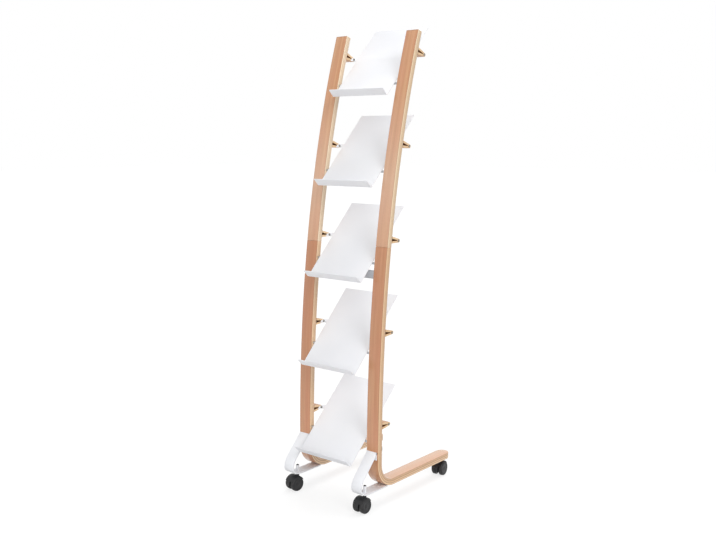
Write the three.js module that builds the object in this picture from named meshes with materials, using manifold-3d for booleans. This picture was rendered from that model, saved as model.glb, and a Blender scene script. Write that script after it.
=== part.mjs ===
// Periodical display rack on castors.
// Two bentwood uprights, each joined from a foot section and a top section, lean back in a sweep.
// Five folded steel shelves pass between them. Each shelf rests on a cross rod and is bolted
// to a pair of wooden wedge brackets behind the uprights.
// Millimetres, X to the right of someone facing the rack, Y to the back, Z up from the floor.
// While the pieces are built, Y = 0 is the front of the straight lower part of the uprights.

import * as THREE from 'three';
import { mergeVertices } from 'three/addons/utils/BufferGeometryUtils.js';
import Module from 'manifold-3d';

// Clearances
const SEAT = 0.3; // between pieces that sit on or in one another
const RUN = 0.4; // between pieces that turn on one another

// Uprights: a laminated band, bent to a foot at the bottom
const BAND_WIDTH = 46.5;
const BAND_THICK = 20.5;
const BEND_RADIUS = 82; // outer radius of the bend above the foot
const FOOT_LENGTH = 412; // front face to the rounded rear end
const FOOT_END_ROUND = 26; // length of the rounded rear end
const SWEEP_HEIGHT = 1000; // above the bend, where the backward sweep is stated
const SWEEP_SQUARE = 75.6; // its square part there
const SWEEP_CUBE = 21.5; // and its cube part
const TOP_MARGIN = 60; // top of the upright above the highest bracket
const SEAM_DROP = 25; // joint of the two sections below the middle bracket
const TENON_WIDTH = 26;
const TENON_THICK = 7;
const TENON_DEPTH = 35; // in each section

// Shelves: one folded sheet each
const SHELF_COUNT = 5;
const BRACKET_HEIGHT = 268; // of the lowest pair, above the floor
const SHELF_PITCH = 293.5;
const BRACKET_SHIFTS = [0, 4, 2, 4.5, 0]; // of each pair above an even pitch, lowest first
const PLATE_WIDTH = 222;
const PLATE_LENGTH = 314;
const PLATE_TILT = THREE.MathUtils.degToRad(45.8); // above the horizontal
const LOWEST_TILT = THREE.MathUtils.degToRad(43.5); // of the lowest shelf, which is set flatter
const LEDGE_DEPTH = 30;
const SHEET = 2;
const FOLD_RADIUS = 2.5; // inside the fold
const SIDE_GAP = 11.5; // plate edge to upright
const HOLD_DISTANCE = 174.8; // fold to the bracket tip, along the plate
const ARM_HEIGHT = 10;
const ARM_CLEAR = 20; // arm end to the back of the upright
const WING_LENGTH = 16; // joins the arm to the plate edge

// Wedge brackets and their bolts
const BRACKET_BASE = 22;
const BRACKET_TIP = 10;
const BRACKET_LENGTH = 40;
const BRACKET_LEG = 7; // thickness of the two legs at the upright
const NOTCH_WALL = 3; // between the notch and the bolt hole
const NOTCH_END = 1.6; // height of the notch at its narrow end
const BOLT_DIAMETER = 5;
const BOLT_HEAD = 8;
const BOLT_HEAD_THICK = 2.5;
const BOLT_CAP_THICK = 2;
const BOLT_ROOM = 1.5; // between the bolt head and the plate

// Cross members between the uprights
const ROD_DIAMETER = 8;
const ROD_POCKET = 15;
const RAIL_DROP = 35; // below the middle shelf's rod
const RAIL_DEPTH = 26;
const RAIL_THICK = 9;
const RAIL_POCKET = 10;

// Leg straps: flat steel strip in front of the bends
const STRAP_WIDTH = 40;
const STRAP_THICK = 4;
const STRAP_RISE = 128.5; // top fold above the underside of the foot
const STRAP_TAB = 26; // flat part against the upright
const STRAP_REACH = 72; // in front of the upright
const STRAP_BEND = 38; // outer radius of the lower bend
const TONGUE_WIDTH = 28;
const TONGUE_LENGTH = 50;
const SOCKET_WALL = 1.5;
const SOCKET_HEIGHT = 20.5;
const SOCKET_REACH = 37; // its axis in front of the upright

// Twin wheel castors
const WHEEL_DIAMETER = 48;
const WHEEL_WIDTH = 14.5;
const WHEEL_ROUND = 4.5; // of the outer edge
const HUB_WALL = 3; // outer wall that closes the axle bore
const WEB_THICK = 10.5; // between the wheels
const WHEEL_GAP = 1; // wheel to web
const HOOD_GAP = 1;
const HOOD_WALL = 2;
const HOOD_INSET = 3; // from the outer faces of the wheels
const HOOD_RISE = THREE.MathUtils.degToRad(25); // hood edge above the axle
const WEB_DIP = THREE.MathUtils.degToRad(12); // web edge below the axle
const AXLE_DIAMETER = 6;
const STEM_DIAMETER = 7;
const STEM_IN_HOUSING = 19;
const STEM_IN_FRAME = 15;
const COLLAR_DIAMETER = 12;
const COLLAR_ROOM = 7.5; // housing to the frame
const TRAIL = 14; // stem axis to axle
const REAR_STEM_INSET = 48; // stem axis to the rear end of the foot
// Which way each castor points at rest, in degrees: at 0 its wheels are in front of its stem
const CASTOR_TURNS = { front_left: -8, front_right: 0, rear_left: 188, rear_right: 188 };

// Facets
const ARC_STEPS = 12;
const SWEEP_STEPS = 12;
const FOLD_STEPS = 4;
const ARM_STEPS = 6;
const TREAD_STEPS = 3;
const ROUND_SIDES = 16;
const WHEEL_SIDES = 24;
const HALVINGS = 40; // of the search for the rod under each plate

// Sizes that follow
const wheelRadius = WHEEL_DIAMETER / 2;
const hoodInner = wheelRadius + HOOD_GAP;
const hoodOuter = hoodInner + HOOD_WALL;
const housingTop = wheelRadius + hoodOuter;
const footUnderside = housingTop + COLLAR_ROOM;
const sweepStart = footUnderside + BEND_RADIUS;
const innerGap = PLATE_WIDTH + 2 * SIDE_GAP;
const bandCentre = innerGap / 2 + BAND_WIDTH / 2;
const topBracket = bracketHeight(SHELF_COUNT - 1);
const uprightTop = topBracket + TOP_MARGIN;
const middleShelf = Math.floor(SHELF_COUNT / 2);
const seamHeight = bracketHeight(middleShelf) - SEAM_DROP;
const boltSetback = (BOLT_HEAD / 2 + BOLT_ROOM) / Math.sin(Math.min(PLATE_TILT, LOWEST_TILT));
const boltHole = BOLT_DIAMETER / 2 + SEAT;
const stemHole = STEM_DIAMETER / 2 + SEAT;
const socketRadius = stemHole + SOCKET_WALL;
const frontStem = -SOCKET_REACH;
const rearStem = FOOT_LENGTH - REAR_STEM_INSET;
const sides = { left: -1, right: 1 };

const wasm = await Module();
wasm.setup();

const beech = new THREE.MeshStandardMaterial({ color: 0xd2a078, roughness: 0.5, metalness: 0 });
const whiteSteel = new THREE.MeshStandardMaterial({ color: 0xeeeef0, roughness: 0.45, metalness: 0 });
const greySteel = new THREE.MeshStandardMaterial({ color: 0xb9bdc2, roughness: 0.4, metalness: 0.8 });
const blackPlastic = new THREE.MeshStandardMaterial({ color: 0x2d2d2f, roughness: 0.5, metalness: 0 });

const rack = new THREE.Group();

// Height of the middle of a pair of brackets, counted from the lowest.
function bracketHeight(index) {
  return BRACKET_HEIGHT + SHELF_PITCH * index + (BRACKET_SHIFTS[index] ?? 0);
}

// Shelves are numbered from the top, as they are read.
function shelfNumber(index) {
  return SHELF_COUNT - index;
}

// Tilt of a plate, counted from the lowest.
function plateTilt(index) {
  return index === 0 ? LOWEST_TILT : PLATE_TILT;
}

// Front face of the upright at a height.
function sweep(height) {
  const share = Math.max(0, height - sweepStart) / SWEEP_HEIGHT;
  return SWEEP_SQUARE * share ** 2 + SWEEP_CUBE * share ** 3;
}

// Lean of the upright from the vertical at a height.
function lean(height) {
  const share = Math.max(0, height - sweepStart) / SWEEP_HEIGHT;
  return Math.atan((2 * SWEEP_SQUARE * share + 3 * SWEEP_CUBE * share ** 2) / SWEEP_HEIGHT);
}

// Point behind the front face, square to it, as (y, z).
function behindFront(height, depth) {
  const angle = lean(height);
  return new THREE.Vector2(sweep(height) + depth * Math.cos(angle), height - depth * Math.sin(angle));
}

function arc(centre, radius, from, to, steps = ARC_STEPS) {
  return Array.from({ length: steps + 1 }, (_, i) => {
    const angle = from + ((to - from) * i) / steps;
    return new THREE.Vector2(centre.x + radius * Math.cos(angle), centre.y + radius * Math.sin(angle));
  });
}

function circlePath(centre, radius, steps = ROUND_SIDES) {
  return new THREE.Path(arc(centre, radius, 0, 2 * Math.PI, steps).slice(0, -1));
}

// Extrudes a (y, z) outline along X, centred on X = 0.
function slab(outline, width, holes = []) {
  const shape = new THREE.Shape(outline);
  shape.holes = holes;
  const geometry = new THREE.ExtrudeGeometry(shape, { depth: width, bevelEnabled: false });
  geometry.translate(0, 0, -width / 2);
  const turn = new THREE.Matrix4().makeBasis(
    new THREE.Vector3(0, 1, 0),
    new THREE.Vector3(0, 0, 1),
    new THREE.Vector3(1, 0, 0),
  );
  return geometry.applyMatrix4(turn);
}

function block(width, depth, height, x, y, z) {
  return new THREE.BoxGeometry(width, depth, height).translate(x, y, z);
}

// Round bar along X.
function bar(radius, length, x, y, z) {
  const geometry = new THREE.CylinderGeometry(radius, radius, length, ROUND_SIDES);
  return geometry.rotateZ(Math.PI / 2).translate(x, y, z);
}

// Round post along Z between two heights.
function post(radius, bottom, top, y) {
  const geometry = new THREE.CylinderGeometry(radius, radius, top - bottom, ROUND_SIDES);
  return geometry.rotateX(Math.PI / 2).translate(0, y, (bottom + top) / 2);
}

function solid(geometry) {
  const bare = geometry.clone();
  bare.deleteAttribute('normal');
  bare.deleteAttribute('uv');
  const merged = mergeVertices(bare);
  return new wasm.Manifold(
    new wasm.Mesh({
      numProp: 3,
      vertProperties: new Float32Array(merged.attributes.position.array),
      triVerts: new Uint32Array(merged.index.array),
    }),
  );
}

function combine(base, added, removed) {
  let result = solid(base);
  for (const geometry of added) {
    result = result.add(solid(geometry));
  }
  for (const geometry of removed) {
    result = result.subtract(solid(geometry));
  }
  const mesh = result.getMesh();
  const geometry = new THREE.BufferGeometry();
  geometry.setAttribute('position', new THREE.BufferAttribute(new Float32Array(mesh.vertProperties), 3));
  geometry.setIndex(new THREE.BufferAttribute(new Uint32Array(mesh.triVerts), 1));
  geometry.computeVertexNormals();
  return geometry;
}

function place(parent, name, geometry, material, x = 0, y = 0, z = 0) {
  const mesh = new THREE.Mesh(geometry, material);
  mesh.name = name;
  mesh.position.set(x, y, z);
  parent.add(mesh);
  return mesh;
}

// Front and back of the upright between two heights, as a closed outline.
function bandOutline(bottom, top) {
  const rise = (top - bottom) / SWEEP_STEPS;
  const heights = Array.from({ length: SWEEP_STEPS + 1 }, (_, i) => bottom + rise * i);
  const front = heights.map((height) => behindFront(height, 0));
  const back = heights.map((height) => behindFront(height, BAND_THICK)).reverse();
  return { front, back };
}

// Bolt, fold and rod of one shelf in (y, z), worked out from its bracket.
function shelfLayout(index) {
  const height = bracketHeight(index);
  const tilt = plateTilt(index);
  const along = new THREE.Vector2(Math.cos(tilt), Math.sin(tilt));
  const out = new THREE.Vector2(-along.y, along.x);
  const bolt = behindFront(height, BAND_THICK + SEAT + BRACKET_LENGTH - boltSetback);
  const tip = bolt.clone().add(new THREE.Vector2(boltSetback, 0));
  const fold = tip.clone().addScaledVector(along, -HOLD_DISTANCE);
  const underside = fold.clone().addScaledVector(out, -(SHEET + SEAT + ROD_DIAMETER / 2));
  let low = 0;
  let high = HOLD_DISTANCE;
  for (let pass = 0; pass < HALVINGS; pass += 1) {
    const middle = (low + high) / 2;
    const point = underside.clone().addScaledVector(along, middle);
    const depth = point.y - behindFront(point.y, BAND_THICK / 2).y;
    const ahead = point.x < behindFront(point.y + depth, BAND_THICK / 2).x;
    low = ahead ? middle : low;
    high = ahead ? high : middle;
  }
  const rod = underside.clone().addScaledVector(along, (low + high) / 2);
  return { height, tilt, along, out, bolt, tip, fold, rod };
}

const layouts = Array.from({ length: SHELF_COUNT }, (_, index) => shelfLayout(index));
const middleRod = layouts[middleShelf].rod;
const railCentre = new THREE.Vector2(
  behindFront(middleRod.y - RAIL_DROP, BAND_THICK / 2).x,
  middleRod.y - RAIL_DROP,
);

// Tenon pocket or tenon across the seam, turned to the lean of the upright there.
function tenonShape(clearance) {
  const centre = behindFront(seamHeight, BAND_THICK / 2);
  const width = TENON_WIDTH + 2 * clearance;
  const thick = TENON_THICK + 2 * clearance;
  const length = 2 * TENON_DEPTH + 2 * clearance;
  return block(width, thick, length, 0, 0, 0).rotateX(-lean(seamHeight)).translate(0, centre.x, centre.y);
}

// Pockets for the rods and the rail in the inner face of an upright.
function sidePockets(side, bottom, top) {
  const innerFace = (-side * BAND_WIDTH) / 2;
  const pockets = layouts
    .filter(({ rod }) => rod.y > bottom && rod.y < top)
    .map(({ rod }) => bar(ROD_DIAMETER / 2 + SEAT, 2 * ROD_POCKET, innerFace, rod.x, rod.y));
  if (railCentre.y > bottom && railCentre.y < top) {
    const thick = RAIL_THICK + 2 * SEAT;
    const depth = RAIL_DEPTH + 2 * SEAT;
    pockets.push(block(2 * RAIL_POCKET, thick, depth, innerFace, railCentre.x, railCentre.y));
  }
  return pockets;
}

// Where the strap can lie under the bend at its full width, and where its tongue ends.
const strapEnd = BEND_RADIUS - Math.sqrt(BEND_RADIUS ** 2 - (BEND_RADIUS - STRAP_THICK - SEAT) ** 2);
const tongueEnd = strapEnd + TONGUE_LENGTH;

// Cutter that leaves the rear end of the foot half round in plan.
function footEndCutter() {
  const half = BAND_WIDTH / 2;
  const start = FOOT_LENGTH - FOOT_END_ROUND;
  const curve = Array.from({ length: ARC_STEPS + 1 }, (_, i) => {
    const angle = (Math.PI * i) / ARC_STEPS;
    return new THREE.Vector2(half * Math.cos(angle), start + FOOT_END_ROUND * Math.sin(angle));
  });
  const shape = new THREE.Shape([
    new THREE.Vector2(BAND_WIDTH, start),
    new THREE.Vector2(BAND_WIDTH, FOOT_LENGTH + BAND_WIDTH),
    new THREE.Vector2(-BAND_WIDTH, FOOT_LENGTH + BAND_WIDTH),
    new THREE.Vector2(-BAND_WIDTH, start),
    ...curve.reverse(),
  ]);
  const height = 3 * BAND_THICK;
  const geometry = new THREE.ExtrudeGeometry(shape, { depth: height, bevelEnabled: false });
  return geometry.translate(0, 0, footUnderside - BAND_THICK);
}

// Lower section: straight foot, bend and the first half of the sweep.
function lowerUpright(side) {
  const centre = new THREE.Vector2(BEND_RADIUS, sweepStart);
  const { front, back } = bandOutline(sweepStart, seamHeight);
  const outline = [
    new THREE.Vector2(FOOT_LENGTH, footUnderside),
    ...arc(centre, BEND_RADIUS, 1.5 * Math.PI, Math.PI),
    ...front.slice(1),
    ...back.slice(0, -1),
    ...arc(centre, BEND_RADIUS - BAND_THICK, Math.PI, 1.5 * Math.PI),
    new THREE.Vector2(FOOT_LENGTH, footUnderside + BAND_THICK),
  ];
  const rebateDepth = STRAP_THICK + SEAT;
  const rebate = block(
    TONGUE_WIDTH + 2 * SEAT,
    tongueEnd + SEAT,
    2 * rebateDepth,
    0,
    (tongueEnd + SEAT) / 2,
    footUnderside,
  );
  const stemPocket = post(stemHole, footUnderside - SEAT, footUnderside + STEM_IN_FRAME + SEAT, rearStem);
  const cuts = [
    tenonShape(SEAT),
    footEndCutter(),
    rebate,
    stemPocket,
    ...sidePockets(side, sweepStart, seamHeight),
  ];
  return combine(slab(outline, BAND_WIDTH), [], cuts);
}

// Upper section: the rest of the sweep, cut square at the top.
function upperUpright(side) {
  const { front, back } = bandOutline(seamHeight + SEAT, uprightTop);
  const cuts = [tenonShape(SEAT), ...sidePockets(side, seamHeight, uprightTop)];
  return combine(slab([...front, ...back], BAND_WIDTH), [], cuts);
}

for (const [name, side] of Object.entries(sides)) {
  const x = side * bandCentre;
  place(rack, `upright_lower_${name}`, lowerUpright(side), beech, x);
  place(rack, `upright_upper_${name}`, upperUpright(side), beech, x);
  place(rack, `splice_tenon_${name}`, tenonShape(0), beech, x);
}

// Flat steel rail let into both lower sections under the middle shelf.
const railLength = innerGap + 2 * (RAIL_POCKET - SEAT);
const rail = block(railLength, RAIL_THICK, RAIL_DEPTH, 0, 0, 0);
place(rack, 'cross_rail', rail, greySteel, 0, railCentre.x, railCentre.y);

// Leg strap: tab on the upright, slanting leg, round lower bend and a flat end under the foot.
function legStrap() {
  const centre = new THREE.Vector2(-STRAP_REACH + STRAP_BEND, footUnderside + STRAP_BEND);
  const top = new THREE.Vector2(-SEAT, footUnderside + STRAP_RISE);
  const reach = top.clone().sub(centre);
  const tangent = Math.atan2(reach.y, reach.x) + Math.acos(STRAP_BEND / reach.length());
  const legSlope = -1 / Math.tan(tangent);
  const innerDrop = STRAP_THICK * Math.hypot(1, legSlope) + STRAP_THICK * legSlope;
  const tabFront = -SEAT - STRAP_THICK;
  const outline = [
    new THREE.Vector2(-SEAT, top.y - STRAP_TAB),
    top,
    ...arc(centre, STRAP_BEND, tangent, 1.5 * Math.PI),
    new THREE.Vector2(strapEnd, footUnderside),
    new THREE.Vector2(strapEnd, footUnderside + STRAP_THICK),
    ...arc(centre, STRAP_BEND - STRAP_THICK, 1.5 * Math.PI, tangent),
    new THREE.Vector2(tabFront, top.y - innerDrop),
    new THREE.Vector2(tabFront, top.y - STRAP_TAB),
  ];
  const floorOfStrap = footUnderside + STRAP_THICK / 2;
  const tongueLength = TONGUE_LENGTH + STRAP_THICK;
  const tongueMiddle = tongueEnd - tongueLength / 2;
  const tongue = block(TONGUE_WIDTH, tongueLength, STRAP_THICK, 0, tongueMiddle, floorOfStrap);
  const socketTop = footUnderside + STRAP_THICK + SOCKET_HEIGHT;
  const socket = post(socketRadius, floorOfStrap, socketTop, frontStem);
  const bore = post(stemHole, footUnderside - STRAP_THICK, socketTop + STRAP_THICK, frontStem);
  return combine(slab(outline, STRAP_WIDTH), [tongue, socket], [bore]);
}

for (const [name, side] of Object.entries(sides)) {
  place(rack, `leg_strap_${name}`, legStrap(), whiteSteel, side * bandCentre);
}

// Shelf: plate and ledge folded from one sheet, with an arm on a short wing at each side.
// Built round its fold.
function shelf({ tilt, along, out, bolt, tip, fold }) {
  const point = (u, v) => new THREE.Vector2().addScaledVector(along, u).addScaledVector(out, v);
  const foldCentre = point(FOLD_RADIUS, FOLD_RADIUS);
  const inward = tilt + 1.5 * Math.PI;
  const outline = [
    point(PLATE_LENGTH, -SHEET),
    point(PLATE_LENGTH, 0),
    ...arc(foldCentre, FOLD_RADIUS, inward, inward - Math.PI / 2, FOLD_STEPS),
    point(0, LEDGE_DEPTH),
    point(-SHEET, LEDGE_DEPTH),
    ...arc(foldCentre, FOLD_RADIUS + SHEET, inward - Math.PI / 2, inward, FOLD_STEPS),
  ];
  const armTip = tip.clone().sub(fold);
  const armBolt = bolt.clone().sub(fold);
  const armRoot = point(HOLD_DISTANCE, -SHEET);
  const half = ARM_HEIGHT / 2;
  const armFront = armTip.x - (BRACKET_LENGTH - ARM_CLEAR);
  const rise = half / Math.tan(tilt);
  const arm = [
    new THREE.Vector2(armRoot.x - rise, armTip.y - half),
    new THREE.Vector2(armRoot.x + rise, armTip.y + half),
    new THREE.Vector2(armFront + half, armTip.y + half),
    ...arc(new THREE.Vector2(armFront + half, armTip.y), half, Math.PI / 2, 1.5 * Math.PI, ARM_STEPS),
  ];
  const armX = innerGap / 2 - SEAT - SHEET / 2;
  const wing = [
    point(HOLD_DISTANCE - WING_LENGTH / 2, -SHEET),
    point(HOLD_DISTANCE + WING_LENGTH / 2, -SHEET),
    point(HOLD_DISTANCE + WING_LENGTH / 2, 0),
    point(HOLD_DISTANCE - WING_LENGTH / 2, 0),
  ];
  const wingWidth = 2 * (armX + SHEET / 2);
  const arms = Object.values(sides).map((side) =>
    slab(arm, SHEET, [circlePath(armBolt, boltHole)]).translate(side * armX, 0, 0),
  );
  return combine(slab(outline, PLATE_WIDTH), [slab(wing, wingWidth), ...arms], []);
}

// Wedge bracket: two legs that meet at the bolt, glued to the back of the upright.
// Built with its base at the origin, pointing back.
function wedgeBracket() {
  const notchDepth = BRACKET_LENGTH - boltSetback - boltHole - NOTCH_WALL;
  const notchBase = BRACKET_BASE / 2 - BRACKET_LEG;
  const outline = [
    new THREE.Vector2(0, -BRACKET_BASE / 2),
    new THREE.Vector2(BRACKET_LENGTH, -BRACKET_TIP / 2),
    new THREE.Vector2(BRACKET_LENGTH, BRACKET_TIP / 2),
    new THREE.Vector2(0, BRACKET_BASE / 2),
    new THREE.Vector2(0, notchBase),
    new THREE.Vector2(notchDepth, NOTCH_END / 2),
    new THREE.Vector2(notchDepth, -NOTCH_END / 2),
    new THREE.Vector2(0, -notchBase),
  ];
  const hole = circlePath(new THREE.Vector2(BRACKET_LENGTH - boltSetback, 0), boltHole);
  return slab(outline, BAND_WIDTH, [hole]);
}

// Bolt through an arm and its bracket: low head inside, cap outside.
function bracketBolt(side) {
  const headFace = -(BAND_WIDTH / 2 + 2 * SEAT + SHEET);
  const capFace = BAND_WIDTH / 2 + SEAT;
  const profile = [
    new THREE.Vector2(0, headFace - BOLT_HEAD_THICK),
    new THREE.Vector2(BOLT_HEAD / 2, headFace - BOLT_HEAD_THICK),
    new THREE.Vector2(BOLT_HEAD / 2, headFace),
    new THREE.Vector2(BOLT_DIAMETER / 2, headFace),
    new THREE.Vector2(BOLT_DIAMETER / 2, capFace),
    new THREE.Vector2(BOLT_HEAD / 2, capFace),
    new THREE.Vector2(BOLT_HEAD / 2, capFace + BOLT_CAP_THICK),
    new THREE.Vector2(0, capFace + BOLT_CAP_THICK),
  ];
  const geometry = new THREE.LatheGeometry(profile, ROUND_SIDES);
  return geometry.rotateZ((-side * Math.PI) / 2);
}

const rodLength = innerGap + 2 * (ROD_POCKET - SEAT);
const rodGeometry = bar(ROD_DIAMETER / 2, rodLength, 0, 0, 0);
layouts.forEach((layout, index) => {
  const { height, fold, rod } = layout;
  const number = shelfNumber(index);
  place(rack, `shelf_${number}`, shelf(layout), whiteSteel, 0, fold.x, fold.y);
  place(rack, `support_rod_${number}`, rodGeometry, greySteel, 0, rod.x, rod.y);
  for (const [name, side] of Object.entries(sides)) {
    const seat = behindFront(height, BAND_THICK + SEAT);
    const holder = new THREE.Group();
    holder.position.set(side * bandCentre, seat.x, seat.y);
    holder.rotation.x = -lean(height);
    const boltReach = BRACKET_LENGTH - boltSetback;
    place(holder, `wedge_bracket_${number}_${name}`, wedgeBracket(), beech);
    place(holder, `bracket_bolt_${number}_${name}`, bracketBolt(side), greySteel, 0, boltReach);
    rack.add(holder);
  }
});

// Castor housing: a web between the wheels with a hood over them and a tower for the stem.
// Castors are built round the stem axis, with the axle in front of it.
function castorHousing() {
  const axle = new THREE.Vector2(-TRAIL, wheelRadius);
  const half = WEB_THICK / 2;
  const web = arc(axle, hoodOuter, -WEB_DIP, Math.PI + WEB_DIP, 2 * ARC_STEPS);
  const tower = [
    new THREE.Vector2(-half, wheelRadius),
    new THREE.Vector2(half, wheelRadius),
    new THREE.Vector2(half, housingTop),
    new THREE.Vector2(-half, housingTop),
  ];
  const hood = [
    ...arc(axle, hoodOuter, HOOD_RISE, Math.PI - HOOD_RISE, 2 * ARC_STEPS),
    ...arc(axle, hoodInner, Math.PI - HOOD_RISE, HOOD_RISE, 2 * ARC_STEPS),
  ];
  const hoodWidth = WEB_THICK + 2 * (WHEEL_GAP + WHEEL_WIDTH - HOOD_INSET);
  const axleHole = bar(AXLE_DIAMETER / 2 + SEAT, 2 * WEB_THICK, 0, axle.x, axle.y);
  const bore = post(STEM_DIAMETER / 2 + RUN, housingTop - STEM_IN_HOUSING - RUN, housingTop + RUN, 0);
  return combine(slab(web, WEB_THICK), [slab(tower, WEB_THICK), slab(hood, hoodWidth)], [axleHole, bore]);
}

// Stem with the collar that carries the frame on the housing.
function castorStem() {
  const profile = [
    new THREE.Vector2(0, housingTop - STEM_IN_HOUSING),
    new THREE.Vector2(STEM_DIAMETER / 2, housingTop - STEM_IN_HOUSING),
    new THREE.Vector2(STEM_DIAMETER / 2, housingTop + SEAT),
    new THREE.Vector2(COLLAR_DIAMETER / 2, housingTop + SEAT),
    new THREE.Vector2(COLLAR_DIAMETER / 2, footUnderside - SEAT),
    new THREE.Vector2(STEM_DIAMETER / 2, footUnderside - SEAT),
    new THREE.Vector2(STEM_DIAMETER / 2, footUnderside + STEM_IN_FRAME),
    new THREE.Vector2(0, footUnderside + STEM_IN_FRAME),
  ];
  return new THREE.LatheGeometry(profile, ROUND_SIDES).rotateX(Math.PI / 2);
}

// Wheel with a rounded tread and a closed outer face, its inner face at X = 0.
function castorWheel(side) {
  const bore = AXLE_DIAMETER / 2 + RUN;
  const edge = arc(
    new THREE.Vector2(wheelRadius - WHEEL_ROUND, WHEEL_WIDTH - WHEEL_ROUND),
    WHEEL_ROUND,
    0,
    Math.PI / 2,
    TREAD_STEPS,
  );
  const profile = [
    new THREE.Vector2(0, WHEEL_WIDTH - HUB_WALL),
    new THREE.Vector2(bore, WHEEL_WIDTH - HUB_WALL),
    new THREE.Vector2(bore, 0),
    new THREE.Vector2(wheelRadius - WHEEL_ROUND / 2, 0),
    new THREE.Vector2(wheelRadius, WHEEL_ROUND / 2),
    ...edge,
    new THREE.Vector2(0, WHEEL_WIDTH),
  ];
  return new THREE.LatheGeometry(profile, WHEEL_SIDES).rotateZ((-side * Math.PI) / 2);
}

const axleReach = WEB_THICK / 2 + WHEEL_GAP + WHEEL_WIDTH - HUB_WALL - RUN;
for (const [label, degrees] of Object.entries(CASTOR_TURNS)) {
  const [end, name] = label.split('_');
  const castor = new THREE.Group();
  castor.position.set(sides[name] * bandCentre, end === 'front' ? frontStem : rearStem, 0);
  castor.rotation.z = THREE.MathUtils.degToRad(degrees);
  place(castor, `castor_housing_${label}`, castorHousing(), blackPlastic);
  place(castor, `castor_stem_${label}`, castorStem(), greySteel);
  const axle = bar(AXLE_DIAMETER / 2, 2 * axleReach, 0, 0, 0);
  place(castor, `castor_axle_${label}`, axle, greySteel, 0, -TRAIL, wheelRadius);
  for (const [flank, hand] of Object.entries({ a: -1, b: 1 })) {
    const x = hand * (WEB_THICK / 2 + WHEEL_GAP);
    const wheel = castorWheel(hand);
    place(castor, `castor_wheel_${label}_${flank}`, wheel, blackPlastic, x, -TRAIL, wheelRadius);
  }
  rack.add(castor);
}

// The origin is on the floor in the middle of the rack's box.
rack.updateMatrixWorld(true);
const box = new THREE.Box3().setFromObject(rack, true);
rack.position.y = -(box.min.y + box.max.y) / 2;

export default rack;
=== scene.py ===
import math

import bmesh
import bpy
from mathutils import Matrix, Vector


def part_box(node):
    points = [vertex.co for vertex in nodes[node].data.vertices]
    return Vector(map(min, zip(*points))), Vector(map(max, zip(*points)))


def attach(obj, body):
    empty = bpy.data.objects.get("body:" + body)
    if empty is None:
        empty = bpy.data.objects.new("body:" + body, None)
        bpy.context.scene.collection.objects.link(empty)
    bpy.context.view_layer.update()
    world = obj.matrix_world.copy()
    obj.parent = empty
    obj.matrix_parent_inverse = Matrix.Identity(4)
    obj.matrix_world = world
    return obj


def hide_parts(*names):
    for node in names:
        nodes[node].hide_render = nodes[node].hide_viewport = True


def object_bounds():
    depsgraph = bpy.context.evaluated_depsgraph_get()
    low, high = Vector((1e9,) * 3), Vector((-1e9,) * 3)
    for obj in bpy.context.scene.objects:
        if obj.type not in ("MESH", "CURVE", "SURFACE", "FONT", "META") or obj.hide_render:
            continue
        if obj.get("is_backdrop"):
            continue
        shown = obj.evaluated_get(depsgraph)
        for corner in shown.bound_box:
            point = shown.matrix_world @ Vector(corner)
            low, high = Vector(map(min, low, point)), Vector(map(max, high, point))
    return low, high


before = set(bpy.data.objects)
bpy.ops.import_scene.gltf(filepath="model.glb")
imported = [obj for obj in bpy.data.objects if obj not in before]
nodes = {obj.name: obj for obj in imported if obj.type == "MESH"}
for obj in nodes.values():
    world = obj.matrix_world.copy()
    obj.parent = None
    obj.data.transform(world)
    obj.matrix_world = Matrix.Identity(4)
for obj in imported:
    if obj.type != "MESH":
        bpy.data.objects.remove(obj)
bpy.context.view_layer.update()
SIDES = {"left": -1, "right": 1}

# Uprights
# Each side is a band of beech veneers, glued and bent round a form to a foot at the bottom and swept
# back above it. It is made in two lengths that butt at a seam, with sanded edges and satin lacquer.
BAND_THICK = 0.0205
BEND_RADIUS = 0.082  # outer
BEND_STEPS = 20
SWEEP_SQUARE = 0.0756  # backward sweep one metre above the bend, square part
SWEEP_CUBE = 0.0215  # and cube part
SWEEP_STEPS = 28
FOOT_END_ROUND = 0.026
FOOT_END_SEGMENTS = 40
EDGE_ROUND = 0.0014
SEAM_GAP = 0.0003
VENEER = BAND_THICK / 6
TOP_RIM = 0.003  # darkened end of the upper length
SMOOTH_LIMIT = math.radians(32)

lower_low, lower_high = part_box("upright_lower_right")
upper_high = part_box("upright_upper_right")[1]
band_width = lower_high.x - lower_low.x
band_centre = (lower_low.x + lower_high.x) / 2
inner_face = lower_low.x
band_front = lower_low.y
foot_floor = lower_low.z
bend_top = foot_floor + BEND_RADIUS
bend_centre = Vector((0, band_front + BEND_RADIUS, bend_top))
seam_height = lower_high.z


def stand(height):
    """Place and lean of the band's front face at a height."""
    rise = height - bend_top
    back = SWEEP_SQUARE * rise**2 + SWEEP_CUBE * rise**3
    lean = math.atan(2 * SWEEP_SQUARE * rise + 3 * SWEEP_CUBE * rise**2)
    return Matrix.Translation((0, band_front + back, height)) @ Matrix.Rotation(-lean, 4, "X")


def in_band(point):
    """How far up the band a point is, and how deep behind its outer face."""
    rise = point.z - bend_top
    if rise >= 0:
        front = stand(point.z)
        return rise, (point.y - front.translation.y) * front[1][1]
    reach = point.y - bend_centre.y
    if reach > 0:
        return -BEND_RADIUS * math.pi / 2 - reach, point.z - foot_floor
    return BEND_RADIUS * math.atan2(rise, -reach), BEND_RADIUS - math.hypot(reach, rise)


def grow(bm, face, move):
    """Lengthens a bar by extruding its end face, and returns the new end."""
    made = bmesh.ops.extrude_face_region(bm, geom=[face, *face.edges, *face.verts])["geom"]
    ends = [item for item in made if isinstance(item, bmesh.types.BMVert)]
    bmesh.ops.transform(bm, matrix=move, verts=ends)
    return next(item for item in made if isinstance(item, bmesh.types.BMFace))


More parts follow.
